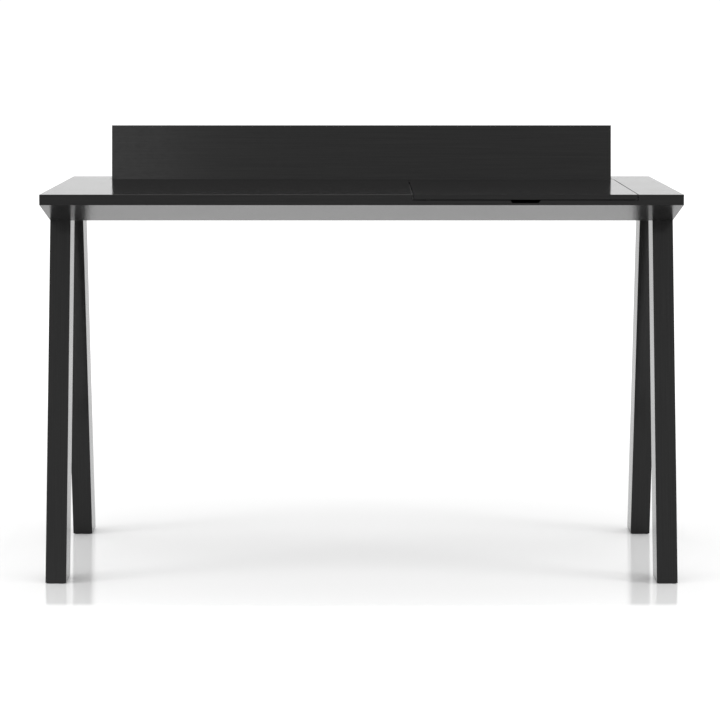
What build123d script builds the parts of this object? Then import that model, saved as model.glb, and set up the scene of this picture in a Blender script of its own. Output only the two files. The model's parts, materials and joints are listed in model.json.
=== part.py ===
from build123d import *
import os
from math import atan, cos, radians, sin, tan

# Writing desk with a lift-up storage lid and a folding screen along the back.
# Origin: on the floor under the middle of the desk. +X right, -Y front, +Z up. Millimetres.

# --- driving dimensions ---
width = 1220.0
depth = 680.0
height = 750.0

rim = 20.0  # height of the upright edge all round the top
body = 60.5  # top surface to the flat underside
slope_inset = 172.0  # run of the sloping underside, front and back
end_draft = 2.5  # how far the end faces lean in below the rim

skin = 9.5  # the top board; lid and flap are cut from the same board
shell = 9.0  # underside panels
end_thick = 18.0
wall = 18.0  # dividers
partition = 15.0
rib = 15.0
rail = 28.0  # front-to-back size of the edge rails

lid_left = 96.5  # edges of the opening in the top board
lid_right = 524.0
seam = 1.6  # gap at each side of the lid
rest_gap = 1.5  # lid and flap close this far above their rails
strip = 17.4  # fixed strip of top board between lid and flap

flap_width = 1037.4
recess = 1048.0  # width of the opening that the flap closes
flap_reach = 116.4  # pivot axis to free edge
flap_lean = 5.0  # degrees back from upright, raised
flap_inset = 0.5  # free edge in from the rear edge of the desk when closed

notch_top = 57.0
notch_bottom = 50.2
notch_sink = 6.7
outlet_top = 90.0
outlet_bottom = 83.0

leg_width = 40.0
leg_depth = 79.0  # horizontal section, front to back
foot_reach = 317.5  # middle of the desk to the outer face of a foot
pad = 1.5
pad_inset = 2.0
pad_corner = 6.0

pin_radius = 2.0
pin_in_wood = 18.0
pin_in_bush = 10.5
running_gap = 0.05
bush_radius = 3.0
bush_length = 12.0
rim_gap = 1.0  # round hinge edge to the wall beside it

plate = 5.0
plate_length = 58.0
plate_depth = 64.0
plate_gap = 1.0  # plate to end panel
block_depth = 74.0

bolt_radius = 4.0
bolt_head = 8.0
bolt_length = 23.0
bolt_in = 11.5  # bolts in from the inner face of the leg
bolt_pitch = 40.0
insert_radius = 6.0
insert_length = 22.0
screw_radius = 2.2
screw_head = 4.6
screw_length = 28.0
screw_in = 15.5  # middle of the screws in from the inner end of the plate
screw_pitch_x = 17.0
screw_pitch_y = 46.0
socket_share = 0.7  # across the corners of a hexagon socket, to the shank
socket_sink = 0.6  # depth of the socket, to the radius of the head
fit = 0.02  # radial clearance of fixed fasteners

bumper_radius = 4.0
bumper = 1.2
bumper_in = 14.0  # bumper centre in from the edge of the desk
bumper_side = 30.0  # and from the end of the lowered rail

arris = 0.8  # softened edges

# --- places worked out from them ---
half_width = width / 2
half_depth = depth / 2
skin_low = height - skin
rim_low = height - rim
under = height - body
shell_high = under + shell
flat = half_depth - slope_inset
incline = atan((rim_low - under) / slope_inset)
mitre = shell * tan(incline / 2)
floor_rise = shell / cos(incline)
rail_inner = half_depth - rail
end_inner = half_width - end_thick
seat = skin_low - rest_gap

axis_z = height - skin / 2
edge_round = skin / 2
flap_axis_y = half_depth - flap_inset - flap_reach
flap_wall = flap_axis_y - edge_round - rim_gap
lid_wall = flap_wall - strip
lid_axis_y = lid_wall - rim_gap - edge_round
partition_front = lid_wall + (strip - partition) / 2
partition_back = partition_front + partition

lid_x0 = lid_left + seam
lid_x1 = lid_right - seam
lid_middle = (lid_left + lid_right) / 2
half_recess = recess / 2
half_flap = flap_width / 2

leg_outer = half_width - end_draft
leg_inner = leg_outer - leg_width
leg_middle_x = (leg_inner + leg_outer) / 2
bolt_x = leg_inner + bolt_in
leg_slant = (foot_reach - flat) / under
leg_top_y = flat - leg_depth / 2
lap = wall / 3  # width of an inner wall that shows under the lid or the flap
block_inner = lid_right - lap + wall
plate_outer = end_inner - plate_gap
plate_inner = plate_outer - plate_length
plate_middle = (plate_inner + plate_outer) / 2
screw_x = plate_inner + screw_in

made = {}
corners = [("front", -1), ("rear", 1)]
sides = [("left", -1), ("right", 1)]


def floor_at(y):
    "Height of the inner surface of the underside at a distance y from the middle."
    rise = (abs(y) - flat) * tan(incline)
    return min(max(shell_high, under + floor_rise + rise), rim_low)


def shell_top_y():
    "Distance from the middle at which the sloping inner surface meets the rim's lower edge."
    return flat + (rim_low - under - floor_rise) / tan(incline)


def along_x(x, y, z):
    "A place whose own Z runs along the desk's X."
    return Locations(Location((x, y, z), (0, 90, 0)))


def keep(name, part):
    part.label = name
    made[name] = part


def cavity_points(back, top):
    "The hollow between the front rail and a wall at y = back, seen from the end."
    points = [(-rail_inner, rim_low), (-shell_top_y(), rim_low), (mitre - flat, shell_high)]
    points += [(flat - mitre, shell_high), (back, floor_at(back)), (back, top), (-rail_inner, top)]
    return points


# --- top board: one skin with an opening for the lid and one for the flap ---
with BuildPart() as worktop_panel:
    with BuildSketch(Plane.XY.offset(skin_low)):
        Rectangle(width, depth)
        with Locations((lid_middle, (lid_wall - half_depth) / 2)):
            Rectangle(lid_right - lid_left, lid_wall + half_depth, mode=Mode.SUBTRACT)
        with Locations((0, (flap_wall + half_depth) / 2)):
            Rectangle(recess, half_depth - flap_wall, mode=Mode.SUBTRACT)
    extrude(amount=skin)
    with along_x(lid_left - bush_length / 2, lid_axis_y, axis_z):
        Cylinder(bush_radius + fit, bush_length, mode=Mode.SUBTRACT)
    with along_x(lid_right + bush_length / 2, lid_axis_y, axis_z):
        Cylinder(bush_radius + fit, bush_length, mode=Mode.SUBTRACT)
    for _, side in sides:
        with along_x(side * (half_recess + bush_length / 2), flap_axis_y, axis_z):
            Cylinder(bush_radius + fit, bush_length, mode=Mode.SUBTRACT)
keep("worktop_panel", worktop_panel.part)


# --- edge rails under the top board, front and rear ---
def edge_rail(end, low_from, low_to, notch_x, wide, narrow):
    "A rail whose top is lowered under a moving board, with a finger notch in the lowered length."
    with BuildPart() as piece:
        with BuildSketch(Plane.XZ.offset(-end * half_depth)):
            with BuildLine():
                Polyline(
                    (-half_width, rim_low),
                    (half_width, rim_low),
                    (half_width, skin_low),
                    (low_to, skin_low),
                    (low_to, seat),
                    (notch_x + wide / 2, seat),
                    (notch_x + narrow / 2, skin_low - notch_sink),
                    (notch_x - narrow / 2, skin_low - notch_sink),
                    (notch_x - wide / 2, seat),
                    (low_from, seat),
                    (low_from, skin_low),
                    (-half_width, skin_low),
                    close=True,
                )
            make_face()
        extrude(amount=end * rail)
    return piece.part


keep("front_rail", edge_rail(-1, lid_left, lid_right, lid_middle, notch_top, notch_bottom))
keep("rear_rail", edge_rail(1, -half_recess, half_recess, 0.0, outlet_top, outlet_bottom))


# --- end panels, tapered with the underside and leaning in slightly ---
def end_panel(side):
    with BuildPart() as piece:
        with BuildSketch(Plane.YZ.offset(side * end_inner)):
            with BuildLine():
                Polyline(
                    (-half_depth, rim_low),
                    (-flat, under),
                    (flat, under),
                    (half_depth, rim_low),
                    (rail_inner, rim_low),
                    (rail_inner, skin_low),
                    (-rail_inner, skin_low),
                    (-rail_inner, rim_low),
                    close=True,
                )
            make_face()
        extrude(amount=side * end_thick)
        with BuildSketch(Plane.XZ.offset(-half_depth)):
            with BuildLine():
                Polyline(
                    (side * half_width, rim_low),
                    (side * leg_outer, under),
                    (side * half_width, under),
                    close=True,
                )
            make_face()
        extrude(amount=depth, mode=Mode.SUBTRACT)
    return piece.part


for word, side in sides:
    keep(word + "_end", end_panel(side))


# --- underside: a flat panel between two sloping ones, mitred together ---
def slope_panel(end):
    with BuildPart() as piece:
        with BuildSketch(Plane.YZ.offset(-end_inner)):
            with BuildLine():
                Polyline(
                    (end * half_depth, rim_low),
                    (end * flat, under),
                    (end * (flat - mitre), shell_high),
                    (end * shell_top_y(), rim_low),
                    close=True,
                )
            make_face()
        extrude(amount=2 * end_inner)
    return piece.part


for word, end in corners:
    keep(word + "_slope_panel", slope_panel(end))

leg_places = [(side, end) for _, side in sides for _, end in corners]

with BuildPart() as bottom_panel:
    with BuildSketch(Plane.YZ.offset(-end_inner)):
        with BuildLine():
            Polyline(
                (-flat, under),
                (flat, under),
                (flat - mitre, shell_high),
                (mitre - flat, shell_high),
                close=True,
            )
        make_face()
    extrude(amount=2 * end_inner)
    with BuildSketch(Plane.XY.offset(under)):
        with Locations(*[(side * plate_middle, end * leg_top_y) for side, end in leg_places]):
            Rectangle(plate_length + 2 * fit, plate_depth + 2 * fit)
    extrude(amount=plate, mode=Mode.SUBTRACT)
    with BuildSketch(Plane.XY.offset(under + plate)):
        with Locations(*[(side * screw_x, end * leg_top_y) for side, end in leg_places]):
            with GridLocations(screw_pitch_x, screw_pitch_y, 2, 2):
                Circle(screw_radius + fit)
    extrude(amount=shell, mode=Mode.SUBTRACT)
keep("bottom_panel", bottom_panel.part)


# --- inner walls ---
with BuildPart() as rear_partition:
    with BuildSketch(Plane.YZ.offset(-end_inner)):
        with BuildLine():
            Polyline(
                (partition_front, floor_at(partition_front)),
                (partition_back, floor_at(partition_back)),
                (partition_back, skin_low),
                (partition_front, skin_low),
                close=True,
            )
        make_face()
    extrude(amount=2 * end_inner)
keep("rear_partition", rear_partition.part)


def cross_wall(x_low, thick):
    "A front-to-back wall that fills the hollow of the body at one place."
    with BuildPart() as piece:
        with BuildSketch(Plane.YZ.offset(x_low)):
            with BuildLine():
                Polyline(*cavity_points(partition_front, skin_low), close=True)
            make_face()
        extrude(amount=thick)
    return piece.part


def divider(x_low, rebate_low, rebate_high):
    "A side wall of the storage compartment, rebated where the lid lies over it."
    with BuildPart() as piece:
        add(cross_wall(x_low, wall))
        with BuildSketch(Plane.XY.offset(seat)):
            with Locations(((rebate_low + rebate_high) / 2, 0)):
                Rectangle(rebate_high - rebate_low, 2 * lid_wall)
            with Locations(((rebate_low + rebate_high) / 2, -half_depth / 2)):
                Rectangle(rebate_high - rebate_low, half_depth)
        extrude(amount=rest_gap, mode=Mode.SUBTRACT)
    return piece.part


keep("divider_left", divider(lid_left + lap - wall, lid_left, lid_left + lap))
keep("divider_right", divider(lid_right - lap, lid_right - lap, lid_right))
hollow_left = lid_left + lap - wall + end_inner
for word, share in [("outer", 1), ("inner", 2)]:
    rib_middle = hollow_left * share / 3 - end_inner
    keep("core_rib_" + word, cross_wall(rib_middle - rib / 2, rib))


def trough_end(side):
    "Closes one end of the cable trough and carries the top board beside the flap."
    with BuildPart() as piece:
        with BuildSketch(Plane.YZ.offset(side * (half_recess - 2 * lap))):
            with BuildLine():
                Polyline(
                    (partition_back, floor_at(partition_back)),
                    (shell_top_y(), rim_low),
                    (rail_inner, rim_low),
                    (rail_inner, skin_low),
                    (partition_back, skin_low),
                    close=True,
                )
            make_face()
        extrude(amount=side * wall)
        with BuildSketch(Plane.XY.offset(seat)):
            with Locations((side * (half_recess - lap), (flap_wall + half_depth) / 2)):
                Rectangle(2 * lap, half_depth - flap_wall)
        extrude(amount=rest_gap, mode=Mode.SUBTRACT)
    return piece.part


for word, side in sides:
    keep("trough_end_" + word, trough_end(side))


# --- legs, each with its block, plate, bolts, screws and pad ---
def leg(side, end):
    "A leaning leg: a sheared rectangle seen from the end of the desk, cut level top and bottom."
    foot = foot_reach - leg_slant * pad
    with BuildPart() as piece:
        with BuildSketch(Plane.YZ.offset(side * leg_inner)):
            with BuildLine():
                Polyline(
                    (end * foot, pad),
                    (end * (foot - leg_depth), pad),
                    (end * (flat - leg_depth), under),
                    (end * flat, under),
                    close=True,
                )
            make_face()
        extrude(amount=side * leg_width)
        long_edges = piece.edges().filter_by(lambda e: e.length > under - 2 * leg_width)
        fillet(long_edges, radius=arris)
        with BuildSketch(Plane.XY.offset(under)):
            with Locations((side * bolt_x, end * leg_top_y)):
                with GridLocations(1, bolt_pitch, 1, 2):
                    Circle(insert_radius + fit)
        extrude(amount=-insert_length - fit, mode=Mode.SUBTRACT)
    return piece.part


def leg_block(side, end):
    with BuildPart() as piece:
        with BuildSketch(Plane.XY.offset(shell_high)):
            with Locations((side * (block_inner + end_inner) / 2, end * leg_top_y)):
                Rectangle(end_inner - block_inner, block_depth)
        extrude(amount=skin_low - shell_high)
        with BuildSketch(Plane.XY.offset(shell_high)):
            with Locations((side * screw_x, end * leg_top_y)):
                with GridLocations(screw_pitch_x, screw_pitch_y, 2, 2):
                    Circle(screw_radius + fit)
        extrude(amount=under + screw_length - shell_high, mode=Mode.SUBTRACT)
    return piece.part


def leg_plate(side, end):
    "Steel plate let into the underside: bolts go down into the leg, screws go up into the block."
    with BuildPart() as piece:
        with BuildSketch(Plane.XY.offset(under)):
            with Locations((side * plate_middle, end * leg_top_y)):
                Rectangle(plate_length, plate_depth)
        extrude(amount=plate)
        with Locations(Location((side * bolt_x, end * leg_top_y, under + plate))):
            with GridLocations(1, bolt_pitch, 1, 2):
                CounterSinkHole(bolt_radius + fit, bolt_head + fit, depth=plate)
        with Locations(Location((side * screw_x, end * leg_top_y, under), (180, 0, 0))):
            with GridLocations(screw_pitch_x, screw_pitch_y, 2, 2):
                CounterSinkHole(screw_radius + fit, screw_head + fit, depth=plate)
    return piece.part


def foot_pad(side, end):
    with BuildPart() as piece:
        with BuildSketch():
            with Locations((side * leg_middle_x, end * (foot_reach - leg_depth / 2))):
                Rectangle(leg_width - 2 * pad_inset, leg_depth - 2 * pad_inset)
        extrude(amount=pad)
        fillet(piece.edges().filter_by(Axis.Z), radius=pad_corner)
    return piece.part


for side_word, side in sides:
    for end_word, end in corners:
        place = "_" + end_word + "_" + side_word
        keep("leg" + place, leg(side, end))
        keep("leg_block" + place, leg_block(side, end))
        keep("leg_plate" + place, leg_plate(side, end))
        keep("foot_pad" + place, foot_pad(side, end))


def countersunk_screw(radius, head_radius, length):
    "Head at the origin pointing up, shank down, with a hexagon socket."
    head = head_radius - radius
    with BuildPart(mode=Mode.PRIVATE) as piece:
        with BuildSketch(Plane.XZ):
            with BuildLine():
                Polyline(
                    (0, 0),
                    (head_radius, 0),
                    (radius, -head),
                    (radius, -length + radius / 2),
                    (radius / 2, -length),
                    (0, -length),
                    close=True,
                )
            make_face()
        revolve(axis=Axis.Z)
        with BuildSketch():
            RegularPolygon(socket_share * radius, 6)
        extrude(amount=-socket_sink * head_radius, mode=Mode.SUBTRACT)
    return piece.part


bolt = countersunk_screw(bolt_radius, bolt_head, bolt_length)
screw = countersunk_screw(screw_radius, screw_head, screw_length)

with BuildPart() as leg_bolts:
    for side, end in leg_places:
        with Locations(Location((side * bolt_x, end * leg_top_y, under + plate))):
            with GridLocations(1, bolt_pitch, 1, 2):
                add(bolt)
keep("leg_bolts", leg_bolts.part)

with BuildPart() as plate_screws:
    for side, end in leg_places:
        with Locations(Location((side * screw_x, end * leg_top_y, under), (180, 0, 0))):
            with GridLocations(screw_pitch_x, screw_pitch_y, 2, 2):
                add(screw)
keep("plate_screws", plate_screws.part)

with BuildPart() as leg_inserts:
    with BuildSketch(Plane.XY.offset(under - insert_length)):
        for side, end in leg_places:
            with Locations((side * bolt_x, end * leg_top_y)):
                with GridLocations(1, bolt_pitch, 1, 2):
                    Circle(insert_radius)
                    Circle(bolt_radius + fit, mode=Mode.SUBTRACT)
    extrude(amount=insert_length)
keep("leg_inserts", leg_inserts.part)

# --- storage lid: rounded hinge edge, turning on a pin at each side ---
with BuildPart() as storage_lid:
    with BuildSketch(Plane.YZ.offset(lid_x0)):
        with Locations(((lid_axis_y - half_depth) / 2, axis_z)):
            Rectangle(lid_axis_y + half_depth, skin)
        with Locations((lid_axis_y, axis_z)):
            Circle(edge_round)
    extrude(amount=lid_x1 - lid_x0)
    for x in (lid_x0 + pin_in_wood / 2, lid_x1 - pin_in_wood / 2):
        with along_x(x, lid_axis_y, axis_z):
            Cylinder(pin_radius + fit, pin_in_wood, mode=Mode.SUBTRACT)
keep("storage_lid", storage_lid.part)

# --- rear flap: the same, raised and leaning back ---
flap_plane = Plane(
    origin=(-half_flap, flap_axis_y, axis_z),
    x_dir=(0, sin(radians(flap_lean)), cos(radians(flap_lean))),
    z_dir=(1, 0, 0),
)
with BuildPart() as rear_flap:
    with BuildSketch(flap_plane):
        with Locations((flap_reach / 2, 0)):
            Rectangle(flap_reach, skin)
        Circle(edge_round)
    extrude(amount=flap_width)
    for _, side in sides:
        with along_x(side * (half_flap - pin_in_wood / 2), flap_axis_y, axis_z):
            Cylinder(pin_radius + fit, pin_in_wood, mode=Mode.SUBTRACT)
keep("rear_flap", rear_flap.part)


# --- pivot pins and bushes, in pairs facing each other along X ---
def pin_pair(name, y, left, right, gap):
    "left and right are the end faces of the moving board; gap is what they clear the opening by."
    length = pin_in_wood + gap + pin_in_bush
    with BuildPart() as pins:
        with along_x(left + pin_in_wood - length / 2, y, axis_z):
            Cylinder(pin_radius, length)
        with along_x(right - pin_in_wood + length / 2, y, axis_z):
            Cylinder(pin_radius, length)
    keep(name + "_pivot_pins", pins.part)
    with BuildPart() as bushes:
        with along_x(left - gap - bush_length / 2, y, axis_z):
            Cylinder(bush_radius, bush_length)
            Cylinder(pin_radius + running_gap, bush_length, mode=Mode.SUBTRACT)
        with along_x(right + gap + bush_length / 2, y, axis_z):
            Cylinder(bush_radius, bush_length)
            Cylinder(pin_radius + running_gap, bush_length, mode=Mode.SUBTRACT)
    keep(name + "_pivot_bushes", bushes.part)


pin_pair("lid", lid_axis_y, lid_x0, lid_x1, seam)
pin_pair("flap", flap_axis_y, -half_flap, half_flap, half_recess - half_flap)


# --- rubber bumpers on the lowered rails ---
def bumpers(end, left, right):
    y = end * (half_depth - bumper_in)
    with BuildPart() as piece:
        with BuildSketch(Plane.XY.offset(seat)):
            with Locations((left + bumper_side, y), (right - bumper_side, y)):
                Circle(bumper_radius)
        extrude(amount=bumper)
    return piece.part


keep("lid_bumpers", bumpers(-1, lid_left, lid_right))
keep("flap_bumpers", bumpers(1, -half_recess, half_recess))

os.makedirs("parts", exist_ok=True)
for name, part in made.items():
    export_step(part, "parts/" + name + ".step")

print("lid axis", round(lid_axis_y, 2), round(axis_z, 2), "flap axis", round(flap_axis_y, 2))
print("lid opening rear wall", round(lid_wall, 2), "flap opening front wall", round(flap_wall, 2))
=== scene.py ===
import json
import math
import bmesh
import bpy
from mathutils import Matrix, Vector


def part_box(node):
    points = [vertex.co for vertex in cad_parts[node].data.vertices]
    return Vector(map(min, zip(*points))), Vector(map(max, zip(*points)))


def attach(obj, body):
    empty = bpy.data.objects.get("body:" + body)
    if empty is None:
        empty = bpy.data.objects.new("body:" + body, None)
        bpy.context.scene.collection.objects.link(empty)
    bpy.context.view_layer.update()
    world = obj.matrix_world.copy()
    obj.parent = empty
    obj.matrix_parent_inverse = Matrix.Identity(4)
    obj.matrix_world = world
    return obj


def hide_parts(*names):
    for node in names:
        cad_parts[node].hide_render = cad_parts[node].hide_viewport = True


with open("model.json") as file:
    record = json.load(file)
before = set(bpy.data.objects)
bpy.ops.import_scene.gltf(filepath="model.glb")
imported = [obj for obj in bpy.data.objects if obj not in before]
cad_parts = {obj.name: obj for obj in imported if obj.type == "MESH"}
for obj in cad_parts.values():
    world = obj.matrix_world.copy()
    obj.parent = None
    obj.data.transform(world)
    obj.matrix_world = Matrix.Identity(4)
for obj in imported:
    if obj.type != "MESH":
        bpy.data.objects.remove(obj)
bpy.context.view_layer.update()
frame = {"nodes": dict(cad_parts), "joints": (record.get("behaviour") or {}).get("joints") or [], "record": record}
slotOf = {part["node"]: part["material_slot"] for part in frame["record"]["subparts"]}
hinges = {joint["name"]: Vector(joint["pos_m"]) for joint in frame["joints"]}
print("frame loaded,", len(frame["nodes"]), "parts")


# a socket of one node tree; sums and products of values add Math nodes
class Flow:
    def __init__(self, tree, socket=None):
        self.tree = tree
        self.socket = socket

    def node(self, kind, settings=None, inputs=None, output=0):
        made = self.tree.nodes.new("ShaderNode" + kind)
        for name, value in (settings or {}).items():
            setattr(made, name, value)
        for name, value in (inputs or {}).items():
            self.feed(made.inputs[name], value)
        return Flow(self.tree, made.outputs[output])

    def feed(self, entry, value):
        if isinstance(value, Flow):
            self.tree.links.new(value.socket, entry)
        else:
            entry.default_value = value

    def math(self, operation, first, second):
        return self.node("Math", {"operation": operation}, {0: first, 1: second})

    def __add__(self, other):
        return self.math("ADD", self, other)

    __radd__ = __add__

    def __mul__(self, other):
        return self.math("MULTIPLY", self, other)

    __rmul__ = __mul__

    def __sub__(self, other):
        return self.math("SUBTRACT", self, other)

    def __rsub__(self, other):
        return self.math("SUBTRACT", other, self)

    def distance(self):  # how far a value is from nought
        return self.math("ABSOLUTE", self, 0)

    def between(self, low, high):  # eases from 0 at low to 1 at high
        return self.node("MapRange", {"interpolation_type": "SMOOTHSTEP"},
                         {"Value": self, "From Min": low, "From Max": high})

    def tint(self, first, second):  # first colour where the value is 0, second where it is 1
        return self.blend((*first, 1), (*second, 1))

    def blend(self, first, second):  # the same for colours that come from other nodes
        return self.node("Mix", {"data_type": "RGBA"}, {0: self, 6: first, 7: second}, output=2)

    def noise(self, size, turn=(0, 0, 0), detail=3.0, rough=0.5):  # one step of it is as long as size
        return self.node("TexNoise", {}, {
            "Vector": self.stretched(size, turn), "Scale": 1.0, "Detail": detail, "Roughness": rough})

    def stretched(self, size, turn=(0, 0, 0)):  # object space measured in steps of the given size
        place = self.node("TexCoord", output="Object")
        return self.node("Mapping", {"vector_type": "TEXTURE"},
                         {"Vector": place, "Scale": size, "Rotation": turn})


def startMaterial(name):
    material = bpy.data.materials.new(name)
    material.use_nodes = True
    shader = material.node_tree.nodes["Principled BSDF"]
    return material, shader, Flow(material.node_tree)


def dress(flow, shader, colour, roughness, height, strength, depth):
    flow.feed(shader.inputs["Base Color"], colour)
    flow.feed(shader.inputs["Roughness"], roughness)
    bump = flow.node("Bump", {}, {"Height": height, "Strength": strength, "Distance": depth})
    flow.feed(shader.inputs["Normal"], bump)


# black stained veneer under lacquer
lacquer = {
    "dark": (0.0100, 0.0100, 0.0102),
    "light": (0.0152, 0.0151, 0.0149),
    "wornAndHighlit": (0.0220, 0.0216, 0.0210),  # arrises that hands have polished, lighter also as a painted highlight along the edges
    "roughness": 0.10,
    "refraction": 1.35,
    "coats": {"polished": 0.0, "underside": 0.10, "inside": 0.30},  # added where the coat is thinner
    "streak": (0.18, 0.0022, 0.0022),  # length and widths of a streak of grain
    "streakTone": (0.25, 0.8),  # the noise that gives the dark and the light
    "pore": (0.012, 0.00035, 0.00035),
    "poreDepth": (0.56, 0.70),
    "cloud": (0.11, 0.11, 0.11),
    "uneven": 0.04,  # how much streaks and clouds change the roughness,
    "dull": 0.03,  # and pores
    "raised": 0.35,
    "relief": 0.00003,
}


def blackWood(name, along="x", lean=0.0, wornAndHighlit=False, coat="polished"):
    # along is the axis of the grain, and lean tips an upright grain forward or back
    material, shader, flow = startMaterial(name)
    turns = {"x": (0, 0, 0), "y": (0, 0, math.pi / 2), "z": (0, lean - math.pi / 2, math.pi / 2)}
    streaks = flow.noise(lacquer["streak"], turns[along], detail=5.0, rough=0.6)
    pores = flow.noise(lacquer["pore"], turns[along], detail=2.0).between(*lacquer["poreDepth"])
    clouds = flow.noise(lacquer["cloud"], detail=2.0)
    # worn edges take a lighter colour: real wear, and a painted highlight as well
    light = lacquer["wornAndHighlit"] if wornAndHighlit else lacquer["light"]
    colour = streaks.between(*lacquer["streakTone"]).tint(lacquer["dark"], light)
    roughness = lacquer["roughness"] + lacquer["coats"][coat]
    roughness = roughness + (streaks - 0.5) * lacquer["uneven"] + (clouds - 0.5) * lacquer["uneven"]
    roughness = roughness + pores * lacquer["dull"]
    dress(flow, shader, colour, roughness, streaks * 0.5 - pores, lacquer["raised"], lacquer["relief"])
    shader.inputs["IOR"].default_value = lacquer["refraction"]
    return material


# birch plies a little over a millimetre thick, stacked along one axis
birch = {
    "pale": ((0.62, 0.45, 0.27), (0.72, 0.56, 0.37)),
    "dark": ((0.42, 0.27, 0.15), (0.55, 0.38, 0.22)),
    "plies": {"x": (0.0026, 0.5, 0.5), "z": (0.5, 0.5, 0.0026)},
    "fibre": (0.03, 0.0012, 0.0012),
}


def plywood(name, layers):
    material, shader, flow = startMaterial(name)
    bands = flow.noise(birch["plies"][layers], detail=0.0).between(0.42, 0.58)
    fibres = flow.noise(birch["fibre"], detail=4.0)
    colour = bands.blend(fibres.tint(*birch["dark"]), fibres.tint(*birch["pale"]))
    dress(flow, shader, colour, 0.62 + (fibres - 0.5) * 0.2, fibres + bands * 0.3, 0.4, 0.0001)
    return material


def zincSteel():
    # rolled plate with a dull plated spangle
    material, shader, flow = startMaterial("zinc plated steel")
    crystals = flow.stretched((0.004, 0.004, 0.004))
    spangle = flow.node("TexVoronoi", {}, {"Vector": crystals, "Scale": 1.0}, output="Color")
    spangle = flow.node("SeparateColor", {}, {0: spangle})
    scuffs = flow.noise((0.02, 0.0008, 0.0008), detail=4.0)
    dress(flow, shader, spangle.tint((0.50, 0.51, 0.53), (0.62, 0.63, 0.65)),
          0.30 + spangle * 0.08 + scuffs * 0.12, scuffs, 0.2, 0.00002)
    shader.inputs["Metallic"].default_value = 1.0
    return material


def blackSteel():
    # drawn rod, oiled black
    material, shader, flow = startMaterial("blackened steel")
    drawn = flow.noise((0.02, 0.0004, 0.0004))
    oil = flow.noise((0.005, 0.005, 0.005))
    dress(flow, shader, oil.tint((0.040, 0.040, 0.044), (0.062, 0.061, 0.064)),
          0.38 + drawn * 0.12 + oil * 0.08, drawn, 0.2, 0.00002)
    shader.inputs["Metallic"].default_value = 1.0
    return material


def turnedBrass():
    # rings of a lathe tool across the X axis
    material, shader, flow = startMaterial("turned brass")
    rings = flow.noise((0.00025, 0.02, 0.02))
    stain = flow.noise((0.006, 0.006, 0.006))
    dress(flow, shader, stain.between(0.3, 0.75).tint((0.80, 0.60, 0.28), (0.62, 0.42, 0.17)),
          0.20 + rings * 0.14 + stain * 0.08, rings, 0.3, 0.00002)
    shader.inputs["Metallic"].default_value = 1.0
    return material


def pressedFelt():
    material, shader, flow = startMaterial("pressed felt")
    fibres = flow.noise((0.0025, 0.0004, 0.0004), detail=4.0)
    crossed = flow.noise((0.0004, 0.0025, 0.0004), detail=4.0)
    mat = (fibres + crossed) * 0.5
    dress(flow, shader, mat.between(0.35, 0.65).tint((0.012, 0.012, 0.013), (0.05, 0.05, 0.052)),
          0.9 + (mat - 0.5) * 0.15, mat, 0.8, 0.0004)
    return material


def softRubber():
    material, shader, flow = startMaterial("soft rubber")
    bloom = flow.noise((0.0015, 0.0015, 0.0015), detail=4.0)
    dress(flow, shader, bloom.tint((0.012, 0.012, 0.012), (0.035, 0.035, 0.034)),
          0.62 + bloom * 0.2, bloom, 0.3, 0.0001)
    return material


# each pair is the wood of the faces and that of the softened edges, whose lighter colour is wear and a painted
# highlight
boardWood = [blackWood("black board"), blackWood("black board arris", wornAndHighlit=True)]
underWood = [
    blackWood("black underside", coat="underside"),
    blackWood("black underside arris", wornAndHighlit=True),
]
endWood = [
    blackWood("black end", "y", coat="underside"),
    blackWood("black end arris", "y", wornAndHighlit=True),
]
insideWood = blackWood("black inside", coat="inside")
insideCross = blackWood("black inside across", "y", coat="inside")
carried = {
    "zinc_steel": zincSteel(),
    "black_steel": blackSteel(),
    "brass": turnedBrass(),
    "felt": pressedFelt(),
    "rubber": softRubber(),
}
print("materials made")


# modelling steps; the open piece is always the active object
reach = 1e-5  # two places this close are the same
creased = math.radians(20)  # edges flatter than this are not softened
turned = math.radians(40)  # edges sharper than this are not shaded round


def near(first, second):
    return abs(first - second) < reach


def startBlock(name, low, high, materials):
    bpy.ops.object.select_all(action="DESELECT")
    low, high = Vector(low), Vector(high)
    bpy.ops.mesh.primitive_cube_add(size=1, location=(low + high) / 2, scale=high - low)
    return openPiece(name, materials)


def startSheet(name, low, high, materials):
    bpy.ops.object.select_all(action="DESELECT")
    low, high = Vector(low), Vector(high)
    bpy.ops.mesh.primitive_plane_add(size=1, location=(low + high) / 2)
    bpy.context.object.scale = high - low
    return openPiece(name, materials)


def openPiece(name, materials):
    piece = bpy.context.object
    piece.name = name
    for material in materials:
        piece.data.materials.append(material)
    bpy.ops.object.transform_apply(location=True, rotation=True, scale=True)
    bpy.ops.object.mode_set(mode="EDIT")
    return piece


def pick(piece, kind, mode, test):
    bpy.ops.mesh.select_mode(type=mode)
    bpy.ops.mesh.select_all(action="DESELECT")
    mesh = bmesh.from_edit_mesh(piece.data)
    mesh.normal_update()
    for part in getattr(mesh, kind):
        if test(part):
            part.select_set(True)
    bmesh.update_edit_mesh(piece.data)


def pickPoints(piece, test):
    pick(piece, "verts", "VERT", lambda point: test(point.co))


def pickEdges(piece, test):
    def sharpHere(edge):
        sharp = len(edge.link_faces) == 2 and edge.calc_face_angle() > creased
        return sharp and test(edge.verts[0].co, edge.verts[1].co)
    pick(piece, "edges", "EDGE", sharpHere)


def pickFaces(piece, test):
    pick(piece, "faces", "FACE", lambda face: test(face.calc_center_median(), face.normal))


def cut(axis, *places, clear=False):
    # cuts right through; clear takes away what lies beyond the cut, outwards from the middle
    for place in places:
        normal = Vector((axis == "x", axis == "y", axis == "z"))
        bpy.ops.mesh.select_all(action="SELECT")
        bpy.ops.mesh.bisect(plane_co=normal * place, plane_no=normal, use_fill=clear,
                            clear_outer=clear and place > 0, clear_inner=clear and place < 0)


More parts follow.
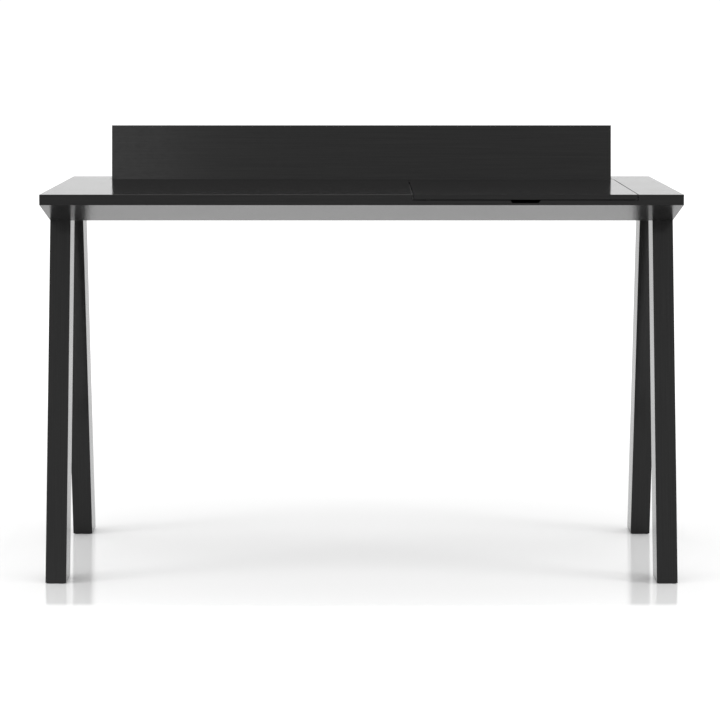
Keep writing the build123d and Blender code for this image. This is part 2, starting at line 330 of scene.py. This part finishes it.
def move(x=0.0, y=0.0, z=0.0):
    bpy.ops.transform.translate(value=(x, y, z))


def pull(x=0.0, y=0.0, z=0.0):
    bpy.ops.mesh.extrude_region_move(TRANSFORM_OT_translate={"value": (x, y, z)})


def soften(piece, width, test, steps=3):
    pickEdges(piece, test)
    bpy.ops.mesh.bevel(offset=width, segments=steps, affect="EDGES", clamp_overlap=True, material=1)


def closePiece(piece, body, node):
    # only softened edges, which carry the second material, are shaded round
    bpy.ops.mesh.select_all(action="SELECT")
    bpy.ops.mesh.remove_doubles(threshold=reach / 10)
    bpy.ops.mesh.normals_make_consistent(inside=False)

    def hard(edge):
        return edge.calc_face_angle(0) > reach and not any(face.material_index for face in edge.link_faces)
    pick(piece, "edges", "EDGE", hard)
    bpy.ops.mesh.mark_sharp()
    bpy.ops.object.mode_set(mode="OBJECT")
    bpy.ops.object.shade_smooth_by_angle(angle=turned)
    bpy.ops.object.modifier_add(type="WEIGHTED_NORMAL")
    piece.modifiers[-1].keep_sharp = True
    bpy.ops.object.modifier_apply(modifier=piece.modifiers[-1].name)
    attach(piece, body)
    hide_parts(node)


# places read from the frame
boardLow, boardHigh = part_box("worktop_panel")
lidLow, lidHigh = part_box("storage_lid")
flapLow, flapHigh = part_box("rear_flap")
legLow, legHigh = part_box("leg_front_left")
flatLow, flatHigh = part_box("bottom_panel")
top = boardHigh.z
boardUnder = boardLow.z
boardThick = top - boardUnder
roundEdge = boardThick / 2
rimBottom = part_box("front_rail")[0].z
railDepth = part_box("front_rail")[1].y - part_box("front_rail")[0].y
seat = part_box("lid_bumpers")[0].z  # lowered tops of the rails, under the lid and the flap
lidHinge = hinges["lid_hinge"]
flapHinge = hinges["flap_hinge"]


# top board, with an opening for the lid and one for the flap
worktop = {
    "lidGap": 0.0016,
    "flapGap": 0.0053,
    "hingeGap": 0.0010,
    "arris": 0.0007,
    "bushLength": 0.012,
}
lidSides = (lidLow.x - worktop["lidGap"], lidHigh.x + worktop["lidGap"])
lidMiddle = (lidLow.x + lidHigh.x) / 2
flapHalf = flapHigh.x + worktop["flapGap"]
lidWall = lidHinge.y + roundEdge + worktop["hingeGap"]
flapWall = flapHinge.y - roundEdge - worktop["hingeGap"]


def onCorner(at):
    return near(abs(at.x), boardHigh.x) and near(abs(at.y), boardHigh.y)


def makeWorktop():
    board = startSheet("worktopBoard", (boardLow.x, boardLow.y, top), boardHigh, boardWood)
    cut("x", *lidSides, -flapHalf, flapHalf)
    cut("y", lidWall, flapWall)
    pickFaces(board, lambda at, facing: lidSides[0] < at.x < lidSides[1] and at.y < lidWall)
    bpy.ops.mesh.delete(type="FACE")
    pickFaces(board, lambda at, facing: abs(at.x) < flapHalf and at.y > flapWall)
    bpy.ops.mesh.delete(type="FACE")
    bpy.ops.mesh.select_all(action="SELECT")
    pull(z=-boardThick)
    soften(board, worktop["arris"],
           lambda a, b: near(a.z, top) and near(b.z, top) or onCorner(a) and onCorner(b))
    bpy.ops.object.mode_set(mode="OBJECT")
    for node in ("lid_pivot_bushes", "flap_pivot_bushes"):
        boreForBushes(board, node)
    bpy.ops.object.mode_set(mode="EDIT")
    closePiece(board, "desk", "worktop_panel")


def boreForBushes(board, node):
    # a hole in each side wall of an opening, round the bush that is pressed in there
    low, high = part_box(node)
    length = worktop["bushLength"]
    for x in (low.x + length / 2, high.x - length / 2):
        place = (x, (low.y + high.y) / 2, (low.z + high.z) / 2)
        bpy.ops.object.select_all(action="DESELECT")
        bpy.ops.mesh.primitive_cylinder_add(vertices=40, radius=(high.z - low.z) / 2, depth=length,
                                            location=place, rotation=(0, math.pi / 2, 0))
        drill = bpy.context.object
        bpy.context.view_layer.objects.active = board
        bpy.ops.object.modifier_add(type="BOOLEAN")
        board.modifiers[-1].object = drill
        bpy.ops.object.modifier_apply(modifier=board.modifiers[-1].name)
        bpy.data.objects.remove(drill)
    board.select_set(True)


makeWorktop()
print("worktop modelled")


# the two hinged boards: a half round along the hinge, softened everywhere else
hinged = {"lidArris": 0.0006, "flapArris": 0.0008, "flapLean": math.radians(5), "roundSteps": 10}


def makeLid():
    board = startBlock("storageLidBoard", lidLow, lidHigh, boardWood)
    soften(board, roundEdge, lambda a, b: near(a.y, lidHigh.y) and near(b.y, lidHigh.y) and near(a.z, b.z),
           hinged["roundSteps"])
    soften(board, hinged["lidArris"], lambda a, b: max(a.y, b.y) < lidHinge.y + reach)
    closePiece(board, "lid", "storage_lid")


def makeFlap():
    # modelled upright over its hinge, then leant back about it
    lean = hinged["flapLean"]
    freeEdge = (flapHigh.z - flapHinge.z - roundEdge * math.sin(lean)) / math.cos(lean)
    board = startBlock("rearFlapBoard", (flapLow.x, flapHinge.y - roundEdge, flapHinge.z - roundEdge),
                       (flapHigh.x, flapHinge.y + roundEdge, flapHinge.z + freeEdge), boardWood)
    foot = flapHinge.z - roundEdge
    soften(board, roundEdge, lambda a, b: near(a.z, foot) and near(b.z, foot) and near(a.y, b.y),
           hinged["roundSteps"])
    soften(board, hinged["flapArris"], lambda a, b: min(a.z, b.z) > flapHinge.z - reach)
    bpy.ops.mesh.select_all(action="SELECT")
    bpy.ops.transform.rotate(value=lean, orient_axis="X", orient_type="GLOBAL", center_override=flapHinge)
    closePiece(board, "flap", "rear_flap")


makeLid()
makeFlap()
print("lid and flap modelled")


# edge rails: the top is lowered under the moving board, with a finger notch or a cable outlet in it
rails = {
    "front": {"wide": 0.0570, "narrow": 0.0502, "low": lidSides, "middle": lidMiddle},
    "rear": {"wide": 0.0900, "narrow": 0.0830, "low": (-flapHalf, flapHalf), "middle": 0.0},
}
railEdge = {"sink": 0.0067, "arris": 0.0005}
notchFloor = boardUnder - railEdge["sink"]


def makeRail(end):
    size = rails[end]
    low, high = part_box(end + "_rail")
    notch = [size["middle"] - size["narrow"] / 2, size["middle"] + size["narrow"] / 2]
    rail = startBlock(end + "RailBoard", low, (high.x, high.y, notchFloor), boardWood)
    cut("x", *size["low"], *notch)
    pickFaces(rail, lambda at, facing: facing.z > 0.5 and not notch[0] < at.x < notch[1])
    pull(z=seat - notchFloor)
    for side, x in zip((-1, 1), notch):
        pickPoints(rail, lambda at: near(at.x, x) and near(at.z, seat))
        move(x=side * (size["wide"] - size["narrow"]) / 2)
    pickFaces(rail, lambda at, facing: facing.z > 0.5 and not size["low"][0] < at.x < size["low"][1])
    pull(z=boardUnder - seat)
    outside = low.y if end == "front" else high.y
    soften(rail, worktop["arris"], lambda a, b: onCorner(a) and onCorner(b))
    soften(rail, railEdge["arris"], lambda a, b: near(a.y, outside) and near(b.y, outside)
           and max(a.z, b.z) < boardUnder - reach and abs(a.x - b.x) > reach)
    closePiece(rail, "desk", end + "_rail")


makeRail("front")
makeRail("rear")
print("rails modelled")


# underside: two sloping boards and the end boards that close them
shell = {"lean": 0.0025, "arris": 0.0008, "tip": railEdge["arris"]}
under = flatLow.z
flat = flatHigh.y  # half of the flat part, front to back
incline = math.atan((rimBottom - under) / (boardHigh.y - flat))
innerTop = flat + (rimBottom - under) / math.tan(incline) - (flatHigh.z - under) / math.sin(incline)


def makeSlope(end, toRear):
    # a leaning board: the long edges of a block slid to their places
    low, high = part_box(end + "_slope_panel")
    board = startBlock(end + "SlopeBoard", low, high, underWood)
    outer, inner = (low.y, high.y) if toRear < 0 else (high.y, low.y)
    pickPoints(board, lambda at: near(at.y, outer) and near(at.z, under))
    move(y=toRear * flat - outer)
    pickPoints(board, lambda at: near(at.y, inner) and near(at.z, under))
    move(z=flatHigh.z - under)
    pickPoints(board, lambda at: near(at.y, inner) and near(at.z, rimBottom))
    move(y=toRear * innerTop - inner)
    cut("y", toRear * (boardHigh.y - shell["tip"]), clear=True)
    closePiece(board, "desk", end + "_slope_panel")


def makeEnd(word, side):
    low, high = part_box(word + "_end")
    outer = low.x if side < 0 else high.x
    board = startBlock(word + "EndBoard", low, (high.x, high.y, rimBottom), endWood)
    for toRear in (-1, 1):
        pickPoints(board, lambda at: near(at.y, toRear * boardHigh.y) and near(at.z, under))
        move(y=toRear * (flat - boardHigh.y))
    pickPoints(board, lambda at: near(at.x, outer) and near(at.z, under))
    move(x=-side * shell["lean"])
    cut("y", boardLow.y + railDepth, boardHigh.y - railDepth)
    pickFaces(board, lambda at, facing: facing.z > 0.5 and abs(at.y) < boardHigh.y - railDepth)
    pull(z=boardUnder - rimBottom)
    face = abs(outer) - 2 * shell["lean"]
    soften(board, shell["arris"], lambda a, b: min(abs(a.x), abs(b.x)) > face and abs(a.y - b.y) > reach
           and min(a.z, b.z) < rimBottom - reach)

    def onBend(edge):
        return all(abs(abs(point.co.y) - flat) < shell["arris"] for point in edge.verts)
    pick(board, "edges", "EDGE", onBend)
    bpy.ops.mesh.mark_sharp()
    cut("y", -boardHigh.y + shell["tip"], boardHigh.y - shell["tip"], clear=True)
    closePiece(board, "desk", word + "_end")


for word, side in (("left", -1), ("right", 1)):
    makeEnd(word, side)
for end, toRear in (("front", -1), ("rear", 1)):
    makeSlope(end, toRear)
print("underside modelled")


# four leaning legs: one is modelled, the others are mirrored copies
legs = {"arris": 0.0009, "foot": 0.0006}
legLean = math.atan((-flat - legLow.y) / (legHigh.z - legLow.z))
legWood = {}
for end, lean in (("front", legLean), ("rear", -legLean)):
    name = "black " + end + " leg"
    legWood[end] = [blackWood(name, "z", lean), blackWood(name + " arris", "z", lean, wornAndHighlit=True)]


def makeLegs():
    mirrored = {
        ("front", "right"): (-1, 1, 1),
        ("rear", "left"): (1, -1, 1),
        ("rear", "right"): (-1, -1, 1),
    }
    first = startBlock("legBoard_front_left", (legLow.x, -flat, legLow.z), legHigh, legWood["front"])
    pickPoints(first, lambda at: near(at.z, legLow.z))
    move(y=legLow.y + flat)
    soften(first, legs["arris"], lambda a, b: abs(a.z - b.z) > reach)
    soften(first, legs["foot"], lambda a, b: near(a.z, legLow.z) and near(b.z, legLow.z))
    bpy.ops.object.mode_set(mode="OBJECT")
    made = {("front", "left"): first}
    for (end, side), scale in mirrored.items():
        bpy.ops.object.select_all(action="DESELECT")
        first.select_set(True)
        bpy.context.view_layer.objects.active = first
        bpy.ops.object.duplicate(linked=False)
        copy = bpy.context.object
        copy.name = "legBoard_" + end + "_" + side
        copy.scale = scale
        bpy.ops.object.transform_apply(location=True, rotation=True, scale=True)
        made[end, side] = copy
    for (end, side), leg in made.items():
        bpy.ops.object.select_all(action="DESELECT")
        bpy.context.view_layer.objects.active = leg
        leg.select_set(True)
        for index, material in enumerate(legWood[end]):
            leg.data.materials[index] = material
        bpy.ops.object.mode_set(mode="EDIT")
        closePiece(leg, "desk", "leg_" + end + "_" + side)


makeLegs()
print("legs modelled")


# the parts that keep the shape they have in the frame
carriedByName = {
    "core_rib": plywood("plywood on edge", "x"),
    "leg_block": plywood("plywood blocks", "z"),
    "divider": insideCross,
    "trough_end": insideCross,
    "rear_partition": insideWood,
    "bottom_panel": underWood[0],
}
for name, node in frame["nodes"].items():
    if node.hide_render:
        continue
    finish = carried.get(slotOf[name])
    for start, material in carriedByName.items():
        if name.startswith(start):
            finish = material
    if not node.material_slots:
        node.data.materials.append(finish)
    for holder in node.material_slots:
        holder.material = finish
print("carried parts dressed")


# pale studio: a floor that fades into the background, and soft light
studio = {
    "backdrop": 1.05,  # brightness behind the desk, as the viewer sees it,
    "behind": 0.93,  # and as the desk reflects it
    "before": 0.72,  # of the room behind the viewer,
    "low": 0.58,  # and of its lower part
    "lowRise": (-0.05, 0.10),  # heights between which the one becomes the other,
    "behindRise": (-0.35, 0.55),  # and the same from before to behind
    "floorSize": 120.0,
    "floorMiddle": 57.0,
    "floorTone": 0.84,
    "floorMatt": 0.9,
    "lift": 0.105,  # painted light: glow that the viewer sees come up through the floor everywhere,
    "glow": 0.20,  # more of it behind the desk,
    "glowRise": (0.5, 3.0),
    "shadeAtFeet": 0.05,  # less at the front feet, a painted shade there
    "shadeAtFeetRise": (-0.15, -0.45),
    "apron": 0.15,  # and more again in front
    "apronRise": (-0.50, -0.60),
    "distant": 0.21,  # painted light: glow of the far floor that lights the desk too, though the floor is no lamp
    "distantRise": (1.2, 3.5),
    "gloss": 0.10,
    "refraction": 1.34,
    "halfWidth": 0.72,  # of the part that mirrors,
    "frontEnd": 0.50,  # which ends here in front
    "fade": (0.7, 2.2),  # and fades to the rear
}
lamps = {
    "overhead": {"place": (0, -0.5, 3.2), "size": 4.0, "power": 50.0},
    "leftBox": {"place": (-2.6, -0.9, 1.3), "size": 0.9, "power": 19.0},
    "rightBox": {"place": (2.6, -0.9, 1.3), "size": 0.9, "power": 19.0},
    "farLeftBox": {"place": (-2.65, -20.0, 3.45), "size": 2.1, "power": 14.0},
}
camera = {"place": (-0.0030, -5.9238, 1.0714), "tilt": 5.104, "lens": 147.80, "rise": -0.10}


def lightWorld():
    world = bpy.data.worlds.new("studio")
    world.use_nodes = True
    bpy.context.scene.world = world
    flow = Flow(world.node_tree)
    facing = flow.node("TexCoord", output="Generated")
    along = flow.node("SeparateXYZ", {}, {0: facing}, output="Y")
    height = flow.node("SeparateXYZ", {}, {0: facing}, output="Z")
    room = studio["low"] + height.between(*studio["lowRise"]) * (studio["before"] - studio["low"])
    strength = room + along.between(*studio["behindRise"]) * (studio["behind"] - room)
    seen = flow.node("LightPath", output="Is Camera Ray")
    strength = strength + seen * (studio["backdrop"] - studio["behind"])
    flow.feed(world.node_tree.nodes["Background"].inputs["Strength"], strength)
    world.node_tree.nodes["Background"].inputs["Color"].default_value = (1, 1, 1, 1)


def layFloor():
    bpy.ops.object.select_all(action="DESELECT")
    bpy.ops.mesh.primitive_plane_add(size=studio["floorSize"], location=(0, studio["floorMiddle"], 0))
    floor = bpy.context.object
    floor.name = "studioFloor"
    material, matt, flow = startMaterial("floor")
    place = flow.node("TexCoord", output="Object")
    x = flow.node("SeparateXYZ", {}, {0: place}, output="X")
    y = flow.node("SeparateXYZ", {}, {0: place}, output="Y") + floor.location.y
    tone = (studio["floorTone"],) * 3 + (1,)
    matt.inputs["Base Color"].default_value = tone
    matt.inputs["Roughness"].default_value = studio["floorMatt"]
    matt.inputs["Specular IOR Level"].default_value = 0.0
    # the floor glows: painted light behind the desk and in front, painted shade at the front feet
    glow = studio["lift"] + y.between(*studio["glowRise"]) * studio["glow"]
    glow = glow - y.between(*studio["shadeAtFeetRise"]) * studio["shadeAtFeet"]
    glow = glow + y.between(*studio["apronRise"]) * studio["apron"]
    glow = glow * flow.node("LightPath", output="Is Camera Ray")
    glow = glow + y.between(*studio["distantRise"]) * studio["distant"]
    flow.feed(matt.inputs["Emission Strength"], glow)
    matt.inputs["Emission Color"].default_value = (1, 1, 1, 1)
    polished = flow.node("BsdfPrincipled", {}, {
        "Base Color": tone, "Roughness": studio["gloss"], "IOR": studio["refraction"],
        "Emission Color": (1, 1, 1, 1), "Emission Strength": glow})
    wide, front = studio["halfWidth"], studio["frontEnd"]
    polish = (1 - x.distance().between(wide, wide + 0.1)) * (1 - y.between(*studio["fade"]))
    polish = polish * y.between(-front - 0.05, -front)
    matt = Flow(material.node_tree, matt.outputs[0])
    ground = flow.node("MixShader", {}, {0: polish, 1: matt, 2: polished})
    flow.feed(material.node_tree.nodes["Material Output"].inputs["Surface"], ground)
    floor.data.materials.append(material)


def hangLamp(name, place, size, power):
    # a square soft box that faces the middle of the desk
    bpy.ops.object.light_add(type="AREA", location=place)
    lamp = bpy.context.object
    lamp.name = name
    lamp.data.size = size
    lamp.data.energy = power
    lamp.visible_camera = False
    aim = Vector((0, 0, 0.3)) - Vector(place)
    lamp.rotation_euler = aim.to_track_quat("-Z", "Y").to_euler()


lightWorld()
layFloor()
for name, lamp in lamps.items():
    hangLamp(name, lamp["place"], lamp["size"], lamp["power"])

bpy.ops.object.camera_add(location=camera["place"], rotation=(math.radians(90 - camera["tilt"]), 0, 0))
viewer = bpy.context.object
viewer.data.lens = camera["lens"]
viewer.data.sensor_width = 36
viewer.data.shift_y = camera["rise"]
bpy.context.scene.camera = viewer
bpy.context.scene.view_settings.view_transform = "Standard"
print("studio lit")
